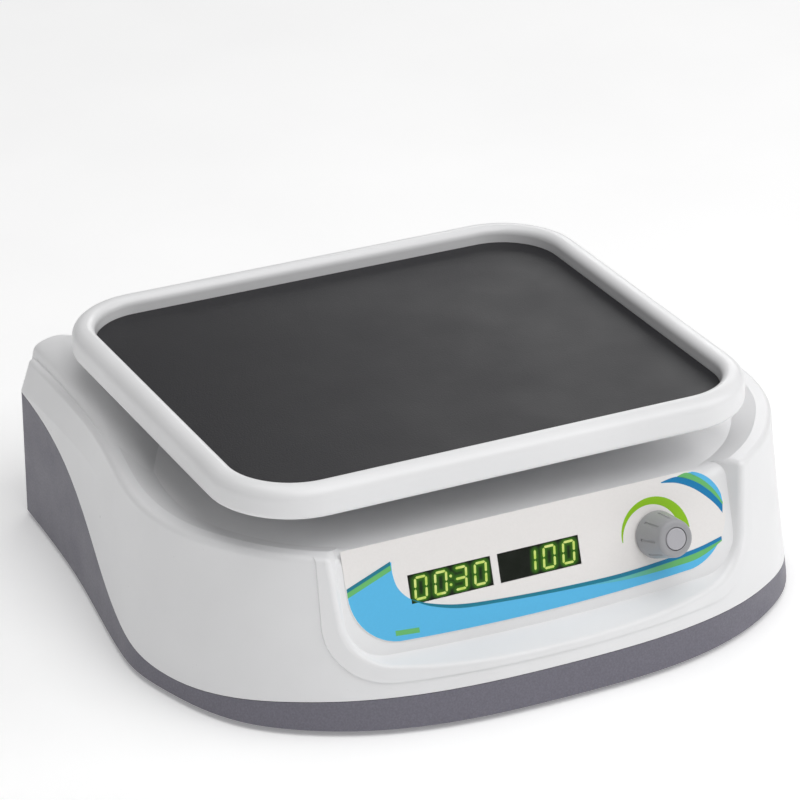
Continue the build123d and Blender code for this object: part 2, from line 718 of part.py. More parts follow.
# ================================================================ carrier
CARRIER_Z = 103.5
CARRIER_T = TRAY_FLOOR - FLOOR_T - CARRIER_Z
CARRIER_W = 196.0
CARRIER_D = 176.0
TRAY_SCREWS = [(PIN[0] + sx * 78, PIN[1] + sy * 66) for sx in (-1, 1) for sy in (-1, 1)]
idler_pins = [(x - ORBIT_R, y) for x, y in IDLERS]
PIN_BOSS_R = BEARING_OUT + 4
IDLER_BOSS_R = BUSH_R + 3.5

with BuildPart() as carrier_plate:
    with BuildSketch(at(PIN, CARRIER_Z)):
        RectangleRounded(CARRIER_W, CARRIER_D, 16)
    extrude(amount=CARRIER_T)
    disc(at(PIN, HUB_LOW), PIN_BOSS_R, CARRIER_Z - HUB_LOW)
    for spot in idler_pins:
        disc(at(spot, HUB_LOW), IDLER_BOSS_R, CARRIER_Z - HUB_LOW)
    with BuildSketch(at(PIN, CARRIER_Z)):
        with Locations((-62, 42), (62, 42), (-60, 0), (60, 0)):
            SlotOverall(40, 22)
    extrude(amount=CARRIER_T, mode=Mode.SUBTRACT)
    drill(at(PIN, HUB_LOW), BEARING_OUT, PIN_BEARING_Z + BEARING_H - HUB_LOW)
    drill(at(PIN, HUB_LOW), BEARING_OUT - 3, PIN_TOP + 1 - HUB_LOW)
    for spot in idler_pins:
        drill(at(spot, HUB_LOW), BUSH_R, PIN_TOP - HUB_LOW)
    for spot in TRAY_SCREWS:
        drill(at(spot, CARRIER_Z), SCREW_R, CARRIER_T)
export(carrier_plate.part, "carrier_plate")

ball_bearing("pin_bearing", PIN, PIN_BEARING_Z)

for number, spot in enumerate(idler_pins, 1):
    with BuildPart() as bush:
        disc(at(spot, HUB_LOW), BUSH_R, PIN_TOP - HUB_LOW, IDLER_R + FIT)
        disc(at(spot, CARRIER_BUSH_Z), BUSH_R + 2, HUB_LOW - CARRIER_BUSH_Z, IDLER_R + FIT)
    export(bush.part, "carrier_bush_" + str(number))

# ================================================================ platform tray
HEAD_R = 4.0
RIM_OUTER_R = 6.4        # the rim's rounded outer and inner top edges
RIM_INNER_R = 4.0
with BuildPart() as platform_tray:
    with BuildSketch(at(TRAY_AT, TRAY_BOTTOM)):
        RectangleRounded(TRAY_W, TRAY_D, TRAY_R)
    extrude(amount=TRAY_TOP - TRAY_BOTTOM)
    fillet(platform_tray.edges().group_by(Axis.Z)[-1], RIM_OUTER_R)
    fillet(platform_tray.edges().group_by(Axis.Z)[0], 3.0)
    with BuildSketch(at(TRAY_AT, TRAY_FLOOR)):
        RectangleRounded(TRAY_W - 2 * RIM_W, TRAY_D - 2 * RIM_W, TRAY_R - RIM_W)
    extrude(amount=TRAY_TOP - TRAY_FLOOR, mode=Mode.SUBTRACT)
    fillet(platform_tray.edges().group_by(Axis.Z)[-1], RIM_INNER_R)
    with BuildSketch(at(TRAY_AT, TRAY_BOTTOM)):
        RectangleRounded(TRAY_W - 2 * RIM_W, TRAY_D - 2 * RIM_W, TRAY_R - RIM_W)
    extrude(amount=TRAY_FLOOR - FLOOR_T - TRAY_BOTTOM, mode=Mode.SUBTRACT)
    for spot in TRAY_SCREWS:
        drill(at(spot, TRAY_BOTTOM), SCREW_R + FIT, 20)
        with BuildSketch(at(spot, TRAY_FLOOR - 2.2)):
            Circle(SCREW_R + FIT)
        with BuildSketch(at(spot, TRAY_FLOOR + 0.01)):
            Circle(HEAD_R + 0.2)
        loft(mode=Mode.SUBTRACT)
export(platform_tray.part, "platform_tray")

with BuildPart() as platform_mat:
    with BuildSketch(at(TRAY_AT, TRAY_FLOOR)):
        RectangleRounded(TRAY_W - 2 * RIM_W - 2 * MAT_GAP, TRAY_D - 2 * RIM_W - 2 * MAT_GAP,
                         TRAY_R - RIM_W - MAT_GAP)
    extrude(amount=MAT_T)
    chamfer(platform_mat.edges().group_by(Axis.Z)[-1], 0.3)
export(platform_mat.part, "platform_mat")

with BuildPart() as tray_screws:
    for spot in TRAY_SCREWS:
        disc(at(spot, CARRIER_Z), SCREW_R, TRAY_FLOOR - 0.3 - CARRIER_Z)
        with BuildSketch(at(spot, TRAY_FLOOR - 2.2)):
            Circle(SCREW_R)
        with BuildSketch(at(spot, TRAY_FLOOR - 0.3)):
            Circle(HEAD_R - 0.3)
        loft()
        with BuildSketch(at(spot, TRAY_FLOOR - 1.5)):
            Rectangle(4.4, 0.8)
            Rectangle(0.8, 4.4)
        extrude(amount=2, mode=Mode.SUBTRACT)
export(tray_screws.part, "tray_screws")

# ================================================================ panel pieces
LABEL_HALF = 99.0
LABEL_TOP = 1.6
LABEL_LOW = 47.0
LABEL_BOW = 4.0
LABEL_LOW_R = 26.0       # both lower corners
LABEL_TOP_R = 20.5       # right upper corner; the left one is square
with BuildPart() as control_label:
    with BuildSketch(panel) as label_face:
        with BuildLine():
            Polyline((-LABEL_HALF, -LABEL_LOW), (-LABEL_HALF, -LABEL_TOP),
                     (LABEL_HALF, -LABEL_TOP), (LABEL_HALF, -LABEL_LOW))
            ThreePointArc((LABEL_HALF, -LABEL_LOW), (0, -LABEL_LOW - LABEL_BOW),
                          (-LABEL_HALF, -LABEL_LOW))
        make_face()
        fillet(label_face.vertices().group_by(Axis.Y)[0], LABEL_LOW_R)
        top_right = label_face.vertices().group_by(Axis.Y)[-1].sort_by(Axis.X)[-1]
        fillet(top_right, LABEL_TOP_R)
        with Locations((TIME_AT[0], -TIME_AT[1]), (SPEED_AT[0], -SPEED_AT[1])):
            Rectangle(WINDOW_W + 0.4, WINDOW_H + 0.4, mode=Mode.SUBTRACT)
        with Locations((KNOB_AT[0], -KNOB_AT[1])):
            Circle(BUSHING_R + 0.2, mode=Mode.SUBTRACT)
    extrude(amount=LABEL_T)
export(control_label.part, "control_label")

# Seven-segment numerals, drawn at DIGIT_H tall and leaning a little.
DIGIT_H = 9.9
DIGIT_PITCH = 10.2
DIGIT_W = 5.6
BAR = 1.1
DIGIT_LEAN = 6.0
SEGMENT_T = 0.15
SEGMENTS_OF = {"0": "abcdef", "1": "bc", "3": "abcdg"}
half_h = DIGIT_H / 2
half_w = DIGIT_W / 2
BAR_PLACES = {"a": (0, half_h, 0), "b": (half_w, half_h / 2, 90), "c": (half_w, -half_h / 2, 90),
              "d": (0, -half_h, 0), "e": (-half_w, -half_h / 2, 90),
              "f": (-half_w, half_h / 2, 90), "g": (0, 0, 0)}


def bar_shape(length):
    """Bar of a numeral, pointed at both ends."""
    tip = length / 2
    body = tip - BAR / 2
    with BuildSketch() as bar:
        with BuildLine():
            Polyline((-tip, 0), (-body, BAR / 2), (body, BAR / 2), (tip, 0),
                     (body, -BAR / 2), (-body, -BAR / 2), close=True)
        make_face()
    return bar.sketch


def numeral_marks(text, colon_after=None):
    """Lit bars of a row of numerals, as flat faces on the panel sketch plane."""
    lean = sin(radians(DIGIT_LEAN))
    marks = []
    for index, char in enumerate(text):
        middle = (index - (len(text) - 1) / 2) * DIGIT_PITCH
        for key in SEGMENTS_OF.get(char, ""):
            x, y, turn = BAR_PLACES[key]
            size = DIGIT_W - 0.5 if turn == 0 else half_h - 0.5
            tilt = turn - DIGIT_LEAN if turn else 0
            marks.append(Location((middle + x + y * lean, y), tilt) * bar_shape(size))
    if colon_after is not None:
        middle = (colon_after - len(text) / 2 + 1) * DIGIT_PITCH
        with BuildSketch() as dots:
            with Locations((middle + 2 * lean, 2), (middle - 2 * lean, -2)):
                Circle(0.65)
        marks.append(dots.sketch)
    return marks


def display(name, spot, text, colon_after=None):
    """Display module behind its window, and its lit numerals."""
    with BuildPart() as module:
        with BuildSketch(panel_at(spot, BOARD_FRONT)):
            Rectangle(WINDOW_W, WINDOW_H)
        extrude(amount=LABEL_T - BOARD_FRONT)
    export(module.part, name + "_display")
    with BuildPart() as lit:
        for mark in numeral_marks(text, colon_after):
            extrude(panel_at(spot, LABEL_T).location * mark, amount=SEGMENT_T)
    export(lit.part, name + "_numerals")


display("time", TIME_AT, "0030", 1)
display("speed", SPEED_AT, " 100")

with BuildPart() as control_board:
    with BuildSketch(panel_at(BOARD_AT, BOARD_FRONT - BOARD_T)):
        Rectangle(BOARD_W, BOARD_H)
    extrude(amount=BOARD_T)
    for spot in BOARD_HOLES:
        drill(panel_at(spot, BOARD_FRONT - BOARD_T), 1.6, BOARD_T)
    with BuildSketch(panel_at((-20, 30), BOARD_FRONT - BOARD_T)):
        Rectangle(14, 14)
    extrude(amount=-1.8)
    with BuildSketch(panel_at((24, 30), BOARD_FRONT - BOARD_T)):
        with GridLocations(20, 0, 2, 1):
            Rectangle(10, 4)
    extrude(amount=-1.4)
    with BuildSketch(panel_at((-60, 42), BOARD_FRONT - BOARD_T)):
        Rectangle(PLUG_W, 5)
    extrude(amount=-7)
export(control_board.part, "control_board")

# Rotary control: the encoder on the board, its nut, and the knob on its shaft.
NUT_T = 2.0
SHAFT_TOP = 14.5
PRESS = 0.6
KNOB_GAP = 1.2           # knob skirt above the panel floor
KNOB_R = 11.4
KNOB_TOP_R = 8.8
KNOB_H = 18.2
CAP_R = 5.2
GROOVES = 8
GROOVE_R = 0.7
GROOVE_L = 11.0

with BuildPart() as encoder_body:
    with BuildSketch(panel_at(KNOB_AT, BOARD_FRONT)):
        RectangleRounded(13, 13, 1)
    extrude(amount=-BOARD_FRONT - WALL)
    disc(panel_at(KNOB_AT, -WALL - 0.5), BUSHING_R, LABEL_T + WALL + NUT_T + 0.9)
    drill(panel_at(KNOB_AT, BOARD_FRONT), 4.0, -BOARD_FRONT - WALL - 1.2)
    drill(panel_at(KNOB_AT, BOARD_FRONT), SHAFT_R - 0.6 + FIT, 30)
export(encoder_body.part, "encoder_body")

with BuildPart() as encoder_nut:
    with BuildSketch(panel_at(KNOB_AT, LABEL_T)):
        RegularPolygon(5.6, 6)
        Circle(BUSHING_R, mode=Mode.SUBTRACT)
    extrude(amount=NUT_T)
export(encoder_nut.part, "encoder_nut")

with BuildPart() as encoder_plunger:
    disc(panel_at(KNOB_AT, BOARD_FRONT + PRESS + 0.2), 3.5, 1.2)
export(encoder_plunger.part, "encoder_plunger")

with BuildPart() as encoder_shaft:
    low = BOARD_FRONT + PRESS + 1.4
    disc(panel_at(KNOB_AT, low), SHAFT_R - 0.6, SHAFT_TOP - low)
export(encoder_shaft.part, "encoder_shaft")

with BuildPart() as control_knob:
    with BuildSketch(panel_at(KNOB_AT, KNOB_GAP)):
        Circle(KNOB_R)
    with BuildSketch(panel_at(KNOB_AT, KNOB_GAP + KNOB_H)):
        Circle(KNOB_TOP_R)
    loft()
    fillet(control_knob.edges().sort_by(Axis((0, 0, 0), panel.z_dir))[-1], 1.8)
    draft = degrees(atan2(KNOB_R - KNOB_TOP_R, KNOB_H))
    with Locations(panel_at(KNOB_AT, KNOB_GAP + KNOB_H / 2)):
        with PolarLocations((KNOB_R + KNOB_TOP_R) / 2 + 0.2, GROOVES):
            Cylinder(GROOVE_R, GROOVE_L, rotation=(0, -draft, 0), mode=Mode.SUBTRACT)
    drill(panel_at(KNOB_AT, KNOB_GAP), 8.0, 4.5)
    drill(panel_at(KNOB_AT, KNOB_GAP), SHAFT_R - 0.6, SHAFT_TOP - KNOB_GAP)
    drill(panel_at(KNOB_AT, KNOB_GAP + KNOB_H - 1.2), CAP_R + 0.4, 3)
export(control_knob.part, "control_knob")

with BuildPart() as knob_cap:
    disc(panel_at(KNOB_AT, KNOB_GAP + KNOB_H - 1.2), CAP_R, 1.5)
    fillet(knob_cap.edges().sort_by(Axis((0, 0, 0), panel.z_dir))[-1], 0.6)
export(knob_cap.part, "knob_cap")

# ================================================================ drive board
BOARD_Z = CHASSIS_TOP + STANDOFF_H
with BuildPart() as drive_board:
    with BuildSketch(at(DRIVE_BOARD_AT, BOARD_Z)):
        Rectangle(DRIVE_BOARD_W, DRIVE_BOARD_D)
    extrude(amount=BOARD_T)
    for spot in board_spots:
        drill(at(spot, BOARD_Z), 1.6, BOARD_T)
    top = BOARD_Z + BOARD_T
    for x, y, w, d, h in ((-20, 0, 12, 30, 20), (4, -12, 10, 10, 6), (2, 10, 14, 8, 9),
                          (18, 17, 8, 8, 10)):
        with BuildSketch(at((DRIVE_BOARD_AT[0] + x, DRIVE_BOARD_AT[1] + y), top)):
            Rectangle(w, d)
        extrude(amount=h)
    disc(at((DRIVE_BOARD_AT[0] + 22, DRIVE_BOARD_AT[1] - 8), top), 6.3, 20)
export(drive_board.part, "drive_board")

with BuildPart() as board_screws:
    for spot in board_spots:
        pan_screw(spot, BOARD_Z + BOARD_T, BOARD_T + STANDOFF_H, 2.6, 1.45)
    for spot in BOARD_HOLES:
        disc(panel_at(spot, BOARD_FRONT - BOARD_T), 1.25, BOARD_T + 5)
        disc(panel_at(spot, BOARD_FRONT - BOARD_T - 2), 2.6, 2)
export(board_screws.part, "board_screws")

# ================================================================ power fittings
back = Plane((JACK_AT[0], BACK_Y, JACK_AT[1]), x_dir=(-1, 0, 0), z_dir=(0, 1, 0))
switch_plane = Plane((SWITCH_AT[0], BACK_Y, SWITCH_AT[1]), x_dir=(-1, 0, 0), z_dir=(0, 1, 0))

with BuildPart() as power_jack:
    disc(back, JACK_R + 2, 1.5)
    disc(back.offset(-14), JACK_R, 14)
    drill(back.offset(-9), 2.9, 12)
    disc(back.offset(-9), 1.0, 9)
export(power_jack.part, "power_jack")

ROCKER_W = 14.0
ROCKER_H = 8.6
ROCKER_PROUD = 5.2       # rocker face above its pivot
ROCKER_TILT = 9.0
PIVOT_Y = BACK_Y - 3.0
with BuildPart() as switch_bezel:
    with BuildSketch(switch_plane):
        RectangleRounded(SWITCH_W + 3, SWITCH_H + 3, 1.5)
    extrude(amount=1.5)
    with BuildSketch(switch_plane.offset(-15)):
        Rectangle(SWITCH_W, SWITCH_H)
    extrude(amount=15)
    with BuildSketch(switch_plane.offset(-11)):
        Rectangle(ROCKER_W + 2.8, ROCKER_H + 0.6)
    extrude(amount=20, mode=Mode.SUBTRACT)
    with BuildSketch(switch_plane.offset(-19)):
        with GridLocations(7, 0, 2, 1):
            Rectangle(0.8, 4.8)
    extrude(amount=4)
export(switch_bezel.part, "switch_bezel")

lean_dir = (cos(radians(ROCKER_TILT)), -sin(radians(ROCKER_TILT)), 0)
with BuildPart() as switch_rocker:
    with BuildSketch(Plane((SWITCH_AT[0], PIVOT_Y, SWITCH_AT[1] - ROCKER_H / 2),
                           x_dir=lean_dir)):
        with BuildLine():
            half = ROCKER_W / 2
            Polyline((half, -1.5), (half, ROCKER_PROUD))
            ThreePointArc((half, ROCKER_PROUD), (0, ROCKER_PROUD - 1.4), (-half, ROCKER_PROUD))
            Polyline((-half, ROCKER_PROUD), (-half, -1.5), (0, -4), (half, -1.5))
        make_face()
    extrude(amount=ROCKER_H)
export(switch_rocker.part, "switch_rocker")

# ================================================================ wiring
WIRE_R = 1.6
plug = panel_at((-60, 42), BOARD_FRONT - BOARD_T - 8).origin
RUNS = (
    ((plug.X, plug.Y + 0.5, plug.Z), (plug.X - 6, -84, 32), (-100, -52, 12), (-108, 10, 12),
     (-106, 44, 15), (-102, 52, 17)),
    ((95, 71, 10.5), (95, 92, 10.5), (60, 112, 10.5), (0, 114, 10.5), (-32, 104, 12),
     (-45, 92, 16)),
    ((-96, 130, 26), (-96, 118, 24), (-92, 108, 19)),
    ((-62, 125, 26), (-63, 116, 23), (-66, 108, 19)),
)
with BuildPart() as wiring:
    for run in RUNS:
        with BuildLine() as route:
            Spline(*run)
        with BuildSketch(Plane(origin=route.line @ 0, z_dir=route.line % 0)):
            Circle(WIRE_R)
        sweep(path=route.line)
export(wiring.part, "wiring")
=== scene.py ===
"""Looks of a benchtop orbital shaker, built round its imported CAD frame. Lengths are metres."""
import json
import math

import bmesh
import bpy
import numpy as np
from mathutils import Matrix, Vector
from mathutils.kdtree import KDTree


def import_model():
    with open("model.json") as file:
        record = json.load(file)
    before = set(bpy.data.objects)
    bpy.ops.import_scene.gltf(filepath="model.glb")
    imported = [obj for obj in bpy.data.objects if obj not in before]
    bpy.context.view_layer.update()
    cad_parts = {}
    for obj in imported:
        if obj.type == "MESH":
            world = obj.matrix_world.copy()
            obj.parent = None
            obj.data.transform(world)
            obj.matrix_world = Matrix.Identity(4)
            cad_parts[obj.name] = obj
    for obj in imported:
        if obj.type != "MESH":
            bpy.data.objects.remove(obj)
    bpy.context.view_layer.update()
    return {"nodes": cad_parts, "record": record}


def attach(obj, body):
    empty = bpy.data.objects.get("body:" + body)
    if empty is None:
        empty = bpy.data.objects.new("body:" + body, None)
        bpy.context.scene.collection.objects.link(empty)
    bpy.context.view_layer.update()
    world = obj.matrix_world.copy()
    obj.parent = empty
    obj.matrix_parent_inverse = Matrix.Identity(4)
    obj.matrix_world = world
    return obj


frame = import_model()
MM = 0.001


def link(name, data):
    """New object for a mesh, light or camera, placed in the scene."""
    thing = bpy.data.objects.new(name, data)
    bpy.context.scene.collection.objects.link(thing)
    return thing


def mesh_from(form, name):
    """New mesh that takes over the shape of a bmesh."""
    mesh = bpy.data.meshes.new(name)
    form.to_mesh(mesh)
    form.free()
    return mesh


# ---------------------------------------------------------------- colours and node graphs
def tone(red, green, blue):
    """Linear colour of an sRGB colour given as 0 to 255."""
    def linear(value):
        share = value / 255
        return share / 12.92 if share <= 0.04045 else ((share + 0.055) / 1.055) ** 2.4
    return (linear(red), linear(green), linear(blue), 1.0)


def scaled(colour, factor):
    """The colour made lighter or darker by a factor."""
    return (*(min(1.0, channel * factor) for channel in colour[:3]), 1.0)


class Finish:
    """A procedural material: one Principled shader, and short calls that feed its sockets."""

    def __init__(self, name, colour, roughness, metallic=0.0, specular=0.5):
        self.material = bpy.data.materials.new(name)
        self.material.use_nodes = True
        self.material.diffuse_color = colour
        self.nodes = self.material.node_tree.nodes
        self.links = self.material.node_tree.links
        self.shader = self.nodes["Principled BSDF"]
        self.set("Base Color", colour)
        self.set("Roughness", roughness)
        self.set("Metallic", metallic)
        self.set("Specular IOR Level", specular)
        self.place = self.nodes.new("ShaderNodeTexCoord").outputs["Object"]
        self.normal = None

    def set(self, socket, value):
        self.shader.inputs[socket].default_value = value

    def feed(self, socket, output):
        self.links.new(output, self.shader.inputs[socket])

    def stretched(self, stretch):
        """Object coordinates scaled along each axis, for grain that runs one way."""
        mapping = self.nodes.new("ShaderNodeMapping")
        mapping.inputs["Scale"].default_value = stretch
        self.links.new(self.place, mapping.inputs["Vector"])
        return mapping.outputs["Vector"]

    def noise(self, size, detail=2.0, stretch=None):
        """Soft noise whose features are about this many metres across."""
        node = self.nodes.new("ShaderNodeTexNoise")
        node.inputs["Scale"].default_value = 1 / size
        node.inputs["Detail"].default_value = detail
        where = self.stretched(stretch) if stretch else self.place
        self.links.new(where, node.inputs["Vector"])
        return node.outputs["Fac"]

    def cells(self, size, feature="F1", output="Distance"):
        """Cell pattern whose cells are about this many metres across."""
        node = self.nodes.new("ShaderNodeTexVoronoi")
        node.feature = feature
        node.inputs["Scale"].default_value = 1 / size
        self.links.new(self.place, node.inputs["Vector"])
        return node.outputs[output]

    def along(self, axis):
        """The object coordinate along one axis: 0, 1 or 2."""
        split = self.nodes.new("ShaderNodeSeparateXYZ")
        self.links.new(self.place, split.inputs[0])
        return split.outputs[axis]

    def spread(self, source, start, end, low=0.0, high=1.0, smooth=False):
        """Maps source from start..end to low..high, held at the ends."""
        node = self.nodes.new("ShaderNodeMapRange")
        node.interpolation_type = "SMOOTHSTEP" if smooth else "LINEAR"
        self.links.new(source, node.inputs["Value"])
        node.inputs["From Min"].default_value = start
        node.inputs["From Max"].default_value = end
        node.inputs["To Min"].default_value = low
        node.inputs["To Max"].default_value = high
        return node.outputs["Result"]

    def math(self, operation, first, second):
        node = self.nodes.new("ShaderNodeMath")
        node.operation = operation
        for index, value in enumerate((first, second)):
            if isinstance(value, (int, float)):
                node.inputs[index].default_value = value
            else:
                self.links.new(value, node.inputs[index])
        return node.outputs[0]

    def mix(self, factor, first, second):
        """Blend of two colours; each is a colour or the output of another node."""
        node = self.nodes.new("ShaderNodeMix")
        node.data_type = "RGBA"
        self.links.new(factor, node.inputs["Factor"])
        for socket, value in ((node.inputs[6], first), (node.inputs[7], second)):
            if isinstance(value, tuple):
                socket.default_value = value
            else:
                self.links.new(value, socket)
        return node.outputs[2]

    def bump(self, height, depth, strength=1.0):
        """Adds relief of this depth in metres on top of the relief already there."""
        node = self.nodes.new("ShaderNodeBump")
        node.inputs["Strength"].default_value = strength
        node.inputs["Distance"].default_value = depth
        self.links.new(height, node.inputs["Height"])
        if self.normal:
            self.links.new(self.normal, node.inputs["Normal"])
        self.normal = node.outputs["Normal"]
        self.feed("Normal", self.normal)


def moulded(name, colour, roughness, grain=0.35 * MM, depth=0.004 * MM, specular=0.5):
    """Moulded plastic: fine spark-eroded grain, faint flow marks, handling marks in the gloss."""
    finish = Finish(name, colour, roughness, specular=specular)
    flow = finish.noise(70 * MM, 3.0)
    finish.feed("Base Color", finish.mix(finish.spread(flow, 0.3, 0.7),
                                         scaled(colour, 0.965), scaled(colour, 1.02)))
    handling = finish.noise(14 * MM, 5.0)
    fine = finish.noise(1.2 * MM, 2.0)
    gloss = finish.math("ADD", finish.spread(handling, 0.3, 0.7, roughness - 0.05, roughness + 0.06),
                        finish.spread(fine, 0.3, 0.7, -0.02, 0.02))
    finish.feed("Roughness", gloss)
    finish.bump(finish.noise(60 * MM, 1.0), 0.25 * MM, 0.25)
    finish.bump(finish.noise(grain, 2.0), depth, 0.6)
    return finish


def white_plastic():
    finish = moulded("white_satin_plastic", tone(239, 239, 240), 0.34)
    finish.set("Coat Weight", 0.12)
    finish.set("Coat Roughness", 0.18)
    return finish.material


def grey_plastic():
    finish = moulded("grey_textured_plastic", tone(112, 110, 121), 0.46, 0.5 * MM, 0.012 * MM)
    specks = finish.noise(0.9 * MM, 3.0)
    finish.feed("Base Color", finish.mix(finish.spread(specks, 0.35, 0.7),
                                         tone(106, 104, 115), tone(118, 116, 127)))
    return finish.material


def mat_rubber():
    """Near-black non-slip rubber: a fine pebble grain, dusty in its hollows."""
    finish = Finish("mat_rubber_pebbled", tone(36, 35, 39), 0.42, specular=0.34)
    pebble = finish.cells(0.9 * MM)
    dust = finish.noise(34 * MM, 5.0)
    dark = finish.mix(finish.spread(dust, 0.35, 0.7), tone(28, 27, 31), tone(36, 35, 39))
    finish.feed("Base Color", finish.mix(finish.spread(pebble, 0.35, 0.75), dark,
                                         tone(30, 30, 33)))
    finish.feed("Roughness", finish.spread(dust, 0.3, 0.7, 0.4, 0.48))
    finish.bump(pebble, -0.06 * MM, 0.5)
    finish.bump(finish.noise(0.25 * MM, 2.0), 0.02 * MM, 0.5)
    return finish.material


def plain_rubber(name, colour):
    finish = Finish(name, colour, 0.7, specular=0.35)
    bloom = finish.noise(6 * MM, 4.0)
    finish.feed("Base Color", finish.mix(finish.spread(bloom, 0.35, 0.7), colour,
                                         scaled(colour, 1.8)))
    finish.feed("Roughness", finish.spread(bloom, 0.3, 0.7, 0.6, 0.82))
    finish.bump(finish.noise(0.4 * MM, 3.0), 0.03 * MM, 0.6)
    return finish.material


def knob_plastic():
    return moulded("knob_soft_grey", tone(160, 160, 163), 0.42, 0.3 * MM, 0.008 * MM).material


def cap_plastic():
    return moulded("cap_pale_grey", tone(180, 179, 184), 0.36, 0.3 * MM, 0.005 * MM).material


def black_plastic():
    return moulded("black_moulded", tone(30, 30, 32), 0.42, 0.5 * MM, 0.01 * MM).material


def film(name, colour, second=None, start=0.0, end=1.0, axis=0):
    """Printed polyester: faint velvet grain under a smooth gloss, with a slight print mottle."""
    finish = Finish(name, colour, 0.3)
    mottle = finish.spread(finish.noise(1.1 * MM, 2.0), 0.3, 0.7)
    base = finish.mix(mottle, scaled(colour, 0.985), scaled(colour, 1.01))
    if second:
        other = finish.mix(mottle, scaled(second, 0.985), scaled(second, 1.01))
        fade = finish.spread(finish.along(axis), start, end, smooth=True)
        base = finish.mix(fade, base, other)
    finish.feed("Base Color", base)
    finish.feed("Roughness", finish.spread(finish.noise(12 * MM, 2.0), 0.3, 0.7, 0.33, 0.36))
    finish.bump(finish.noise(0.5 * MM, 2.0), 0.003 * MM, 0.4)
    return finish.material


def metal(name, colour, roughness, run=None, spangle=0.0):
    """Bare metal: tool marks along one axis or crystal spangle, and dull patches."""
    finish = Finish(name, colour, roughness, metallic=1.0)
    dull = finish.noise(9 * MM, 4.0)
    finish.feed("Base Color", finish.mix(finish.spread(dull, 0.3, 0.7), scaled(colour, 0.82),
                                         scaled(colour, 1.06)))
    marks = finish.noise(1.0 * MM, 3.0, run or (1, 1, 14))
    finish.feed("Roughness", finish.math("ADD", finish.spread(dull, 0.3, 0.7, roughness - 0.06,
                                                              roughness + 0.08),
                                         finish.spread(marks, 0.3, 0.7, -0.05, 0.05)))
    finish.bump(marks, 0.01 * MM, 0.5)
    if spangle:
        finish.bump(finish.cells(spangle, output="Color"), 0.008 * MM, 0.4)
    return finish.material


def circuit_board():
    finish = Finish("board_solder_mask", tone(24, 92, 48), 0.32)
    tracks = finish.cells(2.4 * MM, "DISTANCE_TO_EDGE")
    finish.feed("Base Color", finish.mix(finish.spread(tracks, 0.03, 0.09), tone(50, 128, 72),
                                         tone(20, 84, 44)))
    finish.feed("Roughness", finish.spread(finish.noise(5 * MM, 3.0), 0.3, 0.7, 0.26, 0.42))
    finish.bump(finish.spread(tracks, 0.03, 0.09), -0.03 * MM, 0.6)
    return finish.material


def numeral_light():
    """Lit bars: pale yellow-green, a little uneven in brightness along the display."""
    finish = Finish("lit_bars", tone(196, 222, 96), 0.4)
    flicker = finish.noise(4 * MM, 2.0)
    finish.feed("Emission Color", finish.mix(finish.spread(flicker, 0.3, 0.7),
                                             tone(186, 216, 84), tone(232, 240, 150)))
    finish.set("Emission Strength", 0.8)
    finish.set("Base Color", tone(60, 74, 22))
    finish.bump(finish.noise(0.5 * MM, 2.0), 0.01 * MM, 0.4)
    return finish.material


def display_filter():
    """Dark window: glossy, almost black, with a trace of green in its depth."""
    finish = Finish("display_window", tone(12, 17, 11), 0.2)
    haze = finish.noise(7 * MM, 4.0)
    finish.feed("Base Color", finish.mix(finish.spread(haze, 0.3, 0.7), tone(8, 10, 7),
                                         tone(15, 21, 13)))
    finish.feed("Roughness", finish.spread(haze, 0.3, 0.7, 0.16, 0.27))
    finish.bump(finish.noise(0.4 * MM, 2.0), 0.003 * MM, 0.4)
    return finish.material


STEEL = tone(186, 187, 190)
FINISHES = {
    "white_plastic": white_plastic(),
    "grey_plastic": grey_plastic(),
    "mat_rubber": mat_rubber(),
    "foot_rubber": plain_rubber("foot_rubber_black", tone(38, 38, 40)),
    "belt_rubber": plain_rubber("belt_rubber_black", tone(30, 30, 31)),
    "knob_plastic": knob_plastic(),
    "cap_plastic": cap_plastic(),
    "black_plastic": black_plastic(),
    "label_film": film("label_white_film", tone(242, 239, 237)),
    "display_filter": display_filter(),
    "numeral_light": numeral_light(),
    "aluminium": metal("turned_aluminium", tone(205, 207, 210), 0.36),
    "steel": metal("plain_steel", STEEL, 0.3),
    "zinc_plate": metal("zinc_sheet", tone(190, 193, 197), 0.42, (1, 1, 1), 7 * MM),
    "bronze": metal("sintered_bronze", tone(176, 132, 78), 0.45, (1, 1, 1)),
    "circuit_board": circuit_board(),
    "wire_jacket": plain_rubber("wire_sleeve", tone(34, 34, 37)),
}
for part in frame["record"]["subparts"]:
    mesh = frame["nodes"][part["node"]].data
    mesh.materials.clear()
    mesh.materials.append(FINISHES[part["material_slot"]])


# ---------------------------------------------------------------- control panel prints
PANEL_TILT = math.radians(18.5)
PANEL_TOP = Vector((0, -110, 86)) * MM
PANEL_U = Vector((1, 0, 0))
PANEL_V = Vector((0, -math.sin(PANEL_TILT), -math.cos(PANEL_TILT)))
PANEL_W = Vector((0, -math.cos(PANEL_TILT), math.sin(PANEL_TILT)))
LABEL_T = 0.4            # panel sizes are in millimetres
INK_T = 0.03


def panel(u, v, w=0.0):
    """Point on the panel: u to the right, v down the slope, w out of it, in millimetres."""
    return PANEL_TOP + (PANEL_U * u + PANEL_V * v + PANEL_W * w) * MM


def smooth_line(points, steps=8):
    """Points along a Catmull-Rom curve through the given ones."""
    ends = [points[0], *points, points[-1]]
    line = []
    for a, b, c, d in zip(ends, ends[1:], ends[2:], ends[3:]):
        for step in range(steps):
            t = step / steps
            line.append(tuple(
                0.5 * (2 * q + (r - p) * t + (2 * p - 5 * q + 4 * r - s) * t ** 2
                       + (3 * q - p - 3 * r + s) * t ** 3)
                for p, q, r, s in zip(a, b, c, d)))
    line.append(points[-1])
    return line


